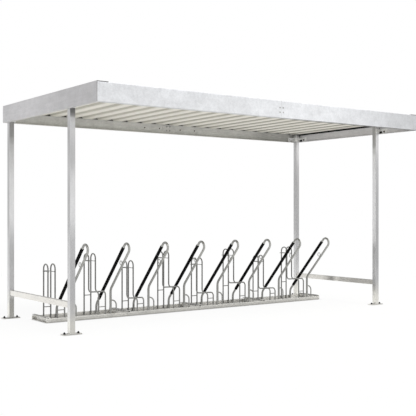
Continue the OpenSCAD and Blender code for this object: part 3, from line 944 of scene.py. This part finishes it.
def rack_pieces():
    """Welds of the wheel holders, hoops and end channels."""
    welds = Builder("rack_welds", WELD)
    low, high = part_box("base_frame_1")
    front_leg, back_leg = low.y + FRAME_T, high.y - FRAME_T
    bar_r, hoop_r = BAR_D / 2, HOOP_D / 2
    bar_front, bar_back = front_leg + bar_r, back_leg - bar_r
    hoop_front, hoop_back = front_leg + hoop_r, back_leg - hoop_r

    def ring(at, axis, radius, bead, sides=22):
        weld(welds, circle(at, axis, radius, sides), axis, bead, around=True)

    def upright(x, y, ends, up, bead):
        weld(welds, straight((x, y, ends[0]), (x, y, ends[1])), up, bead)

    def foot(x, y, radius, bead):
        """Ring round a bar's foot, and a bead up each side of it on the angle's leg."""
        ring((x, y, FRAME_T), Z_AXIS, radius, bead)
        leg = front_leg if y < (front_leg + back_leg) / 2 else back_leg
        for side in (-1, 1):
            upright(x + side * 0.8 * radius, leg, FOOT_BEAD_Z, Y_AXIS, 0.75 * bead)

    def holder(low, high):
        """Feet, tie bars and keeper bars of a wheel holder."""
        for x in (low.x + bar_r, high.x - bar_r):
            for y in (bar_front, bar_back):
                foot(x, y, bar_r, BAR_BEAD)
        for x in (low.x + BAR_D, high.x - BAR_D):
            for y, z in ((bar_back, high.z - TIE_BACK_DROP), (bar_front, TIE_FRONT_Z)):
                ring((x, y, z), X_AXIS, TIE_D / 2, TIE_BEAD, sides=16)
            beside = x + KEEPER_OFF * sign((low.x + high.x) / 2 - x)
            for y in (bar_back, bar_back - HOLDER_LOOP):
                for lift in (-KEEPER_LIFT, KEEPER_LIFT):
                    z = high.z - KEEPER_DROP + lift
                    ends = (beside, y - KEEPER_HALF, z), (beside, y + KEEPER_HALF, z)
                    weld(welds, straight(*ends, KEEPER_PITCH), X_AXIS, KEEPER_BEAD)

    def hoop(x):
        """Feet, brace bar and lock ring of a hoop."""
        for y in (hoop_front, hoop_back):
            foot(x, y, hoop_r, HOOP_BEAD)
        foot(x + BRACE_X, hoop_front, bar_r, BAR_BEAD)
        ring((x + hoop_r - BRACE_SINK, hoop_front, BRACE_Z), X_AXIS, bar_r, BRACE_BEAD)
        joint, slope = ring_joint(x, hoop_front, hoop_back)
        for side in (-1, 1):
            at = joint + Vector((side * RING_ASIDE, 0, 0))
            ends = at - RING_HALF * slope, at + RING_HALF * slope
            weld(welds, straight(*ends, RING_PITCH), X_AXIS, RING_BEAD)

    for i in range(1, STAND_COUNT + 1):
        holder_low, holder_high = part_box(f"wheel_holder_{i}")
        holder(holder_low, holder_high)
        hoop((holder_low.x + holder_high.x) / 2 + HOOP_SIDE)
    for i in range(1, FRAME_COUNT + 1):
        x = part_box(f"base_frame_{i}")[0].x + CHANNEL_W
        for y in (front_leg, back_leg):
            upright(x, y, CHANNEL_BEAD_Z, X_AXIS, CHANNEL_BEAD)
    welds.finish()


def ring_joint(x, hoop_front, hoop_back):
    """Where a lock ring meets its hoop's lower leg, and the leg's direction."""
    slope = Vector((0, -math.cos(HOOP_ANGLE), math.sin(HOOP_ANGLE)))
    inward = Vector((0, -math.sin(HOOP_ANGLE), -math.cos(HOOP_ANGLE)))
    rise = (hoop_back - hoop_front) * math.sin(HOOP_ANGLE) - HOOP_W
    knee = Vector((x, hoop_front, HOOP_KNEE + rise / math.cos(HOOP_ANGLE)))
    crown_z = HOOP_TOP - HOOP_D / 2 - HOOP_W / 2
    run = (crown_z - HOOP_KNEE + HOOP_W / 2 * math.cos(HOOP_ANGLE)) / math.sin(HOOP_ANGLE)
    crown = Vector((x, hoop_back, HOOP_KNEE)) + (run + HOOP_W / 2) * slope + HOOP_W * inward
    return knee.lerp(crown, RING_ALONG) - HOOP_D / 2 * inward, slope


def frame_anchors():
    """Zinc-plated ground anchors through the base frames, inside their end channels."""
    anchors = Builder("frame_anchors", WELD)
    for i in range(1, FRAME_COUNT + 1):
        low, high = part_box(f"base_frame_{i}")
        for x in (low.x + ANCHOR_LEFT, high.x - ANCHOR_RIGHT):
            for y in (low.y + ANCHOR_ASIDE, high.y - ANCHOR_ASIDE):
                bolt_nut(anchors, (x, y, FRAME_T), Z_AXIS, M10, turn=3 * x, thread=0.8)
    anchors.finish()


post_pieces()
bracket_bolts()
back_beam_nuts()
splice_bolts()
beam_joints()
rib_fillers()
seal_lips()
sheet_screws()
rack_pieces()
frame_anchors()


# ---- Studio --------------------------------------------------------------------

WHITE = (1.0, 1.0, 1.0, 1.0)

AMBIENT = 0.40
AMBIENT_COLOR = (0.98, 0.975, 1.0, 1.0)

KEY_TOWARD = (0.10, -0.45, 0.90)
KEY_STRENGTH = 2.6
KEY_SPREAD = math.radians(40.0)

# The floor mixes plain white with a diffuse part that takes the shadows: this share of
# white up to FLOOR_NEAR from the origin, and nothing else from FLOOR_FAR on
FLOOR_WHITE = 0.93
FLOOR_COLOR = (0.92, 0.92, 0.87, 1.0)
FLOOR_NEAR, FLOOR_FAR = 3.0, 7.0
FLOOR_RADIUS = 40.0
FLOOR_DROP = 0.0005
CONTACT_SHADE = 0.55
CONTACT_REACH = 0.07

CAMERA_AT = (-5.704, -7.584, 1.193)
CAMERA_PAN = math.radians(-36.14)
CAMERA_LENS = 69.65
CAMERA_SENSOR = 36.0
CAMERA_SHIFT = 0.0095


def seen_by_eye(g):
    """1 for rays from the camera, reflections and glass, and 0 for lighting rays."""
    rays = g.add("LightPath").outputs
    seen = g.math("MAXIMUM", rays["Is Camera Ray"], rays["Is Glossy Ray"])
    return g.math("MAXIMUM", seen, rays["Is Transmission Ray"])


def blend(g, factor, first, second):
    """Shader that goes from the first to the second as the factor grows."""
    return g.add("MixShader", {"Fac": factor, 1: first, 2: second}).outputs["Shader"]


def world_light():
    """Even soft light, behind a background that looks plain white."""
    world = bpy.data.worlds.new("studio")
    bpy.context.scene.world = world
    g = Graph(world)
    lit = g.add("Background", {"Color": AMBIENT_COLOR, "Strength": AMBIENT}).outputs["Background"]
    shown = g.add("Background", {"Color": WHITE, "Strength": 1.0}).outputs["Background"]
    g.add("OutputWorld", {"Surface": blend(g, seen_by_eye(g), lit, shown)})


def floor_material():
    """White floor that shows the light's shadows faintly, and darkens where the
    object touches it."""
    g = Surface("studio_floor")
    diffuse = g.add("BsdfDiffuse", {"Color": FLOOR_COLOR}).outputs["BSDF"]
    open_sky = g.add("AmbientOcclusion", {"Distance": CONTACT_REACH}, samples=8).outputs["AO"]
    glow = g.rest(g.product(g.rest(open_sky), CONTACT_SHADE))
    white = g.add("Emission", {"Color": WHITE, "Strength": glow}).outputs["Emission"]
    away = g.add("VectorMath", {0: g.coords}, operation="LENGTH").outputs["Value"]
    share = g.remap(away, FLOOR_NEAR, FLOOR_FAR, FLOOR_WHITE, 1.0)
    g.add("OutputMaterial", {"Surface": blend(g, g.product(seen_by_eye(g), share), diffuse, white)})
    return g.material


def floor():
    """Round white ground, far larger than the view."""
    mesh = bmesh.new()
    bmesh.ops.create_circle(mesh, cap_ends=True, segments=96, radius=FLOOR_RADIUS)
    data = bpy.data.meshes.new("studio_floor")
    mesh.to_mesh(data)
    mesh.free()
    data.materials.append(floor_material())
    obj = bpy.data.objects.new("studio_floor", data)
    obj.location = (0.0, 0.0, -FLOOR_DROP)
    bpy.context.scene.collection.objects.link(obj)


def key_light():
    """Soft sun from above and a little to the front."""
    data = bpy.data.lights.new("key", "SUN")
    data.energy = KEY_STRENGTH
    data.angle = KEY_SPREAD
    obj = bpy.data.objects.new("key", data)
    obj.rotation_euler = Vector(KEY_TOWARD).to_track_quat("Z", "Y").to_euler()
    bpy.context.scene.collection.objects.link(obj)


def camera():
    """The photo's view: level, from the front left, at the height of a person's chest."""
    data = bpy.data.cameras.new("camera")
    data.lens = CAMERA_LENS
    data.sensor_width = CAMERA_SENSOR
    data.shift_y = CAMERA_SHIFT
    obj = bpy.data.objects.new("camera", data)
    obj.location = CAMERA_AT
    obj.rotation_euler = (math.radians(90.0), 0.0, CAMERA_PAN)
    bpy.context.scene.collection.objects.link(obj)
    bpy.context.scene.camera = obj


bpy.context.scene.view_settings.view_transform = "Standard"
world_light()
floor()
key_light()
camera()
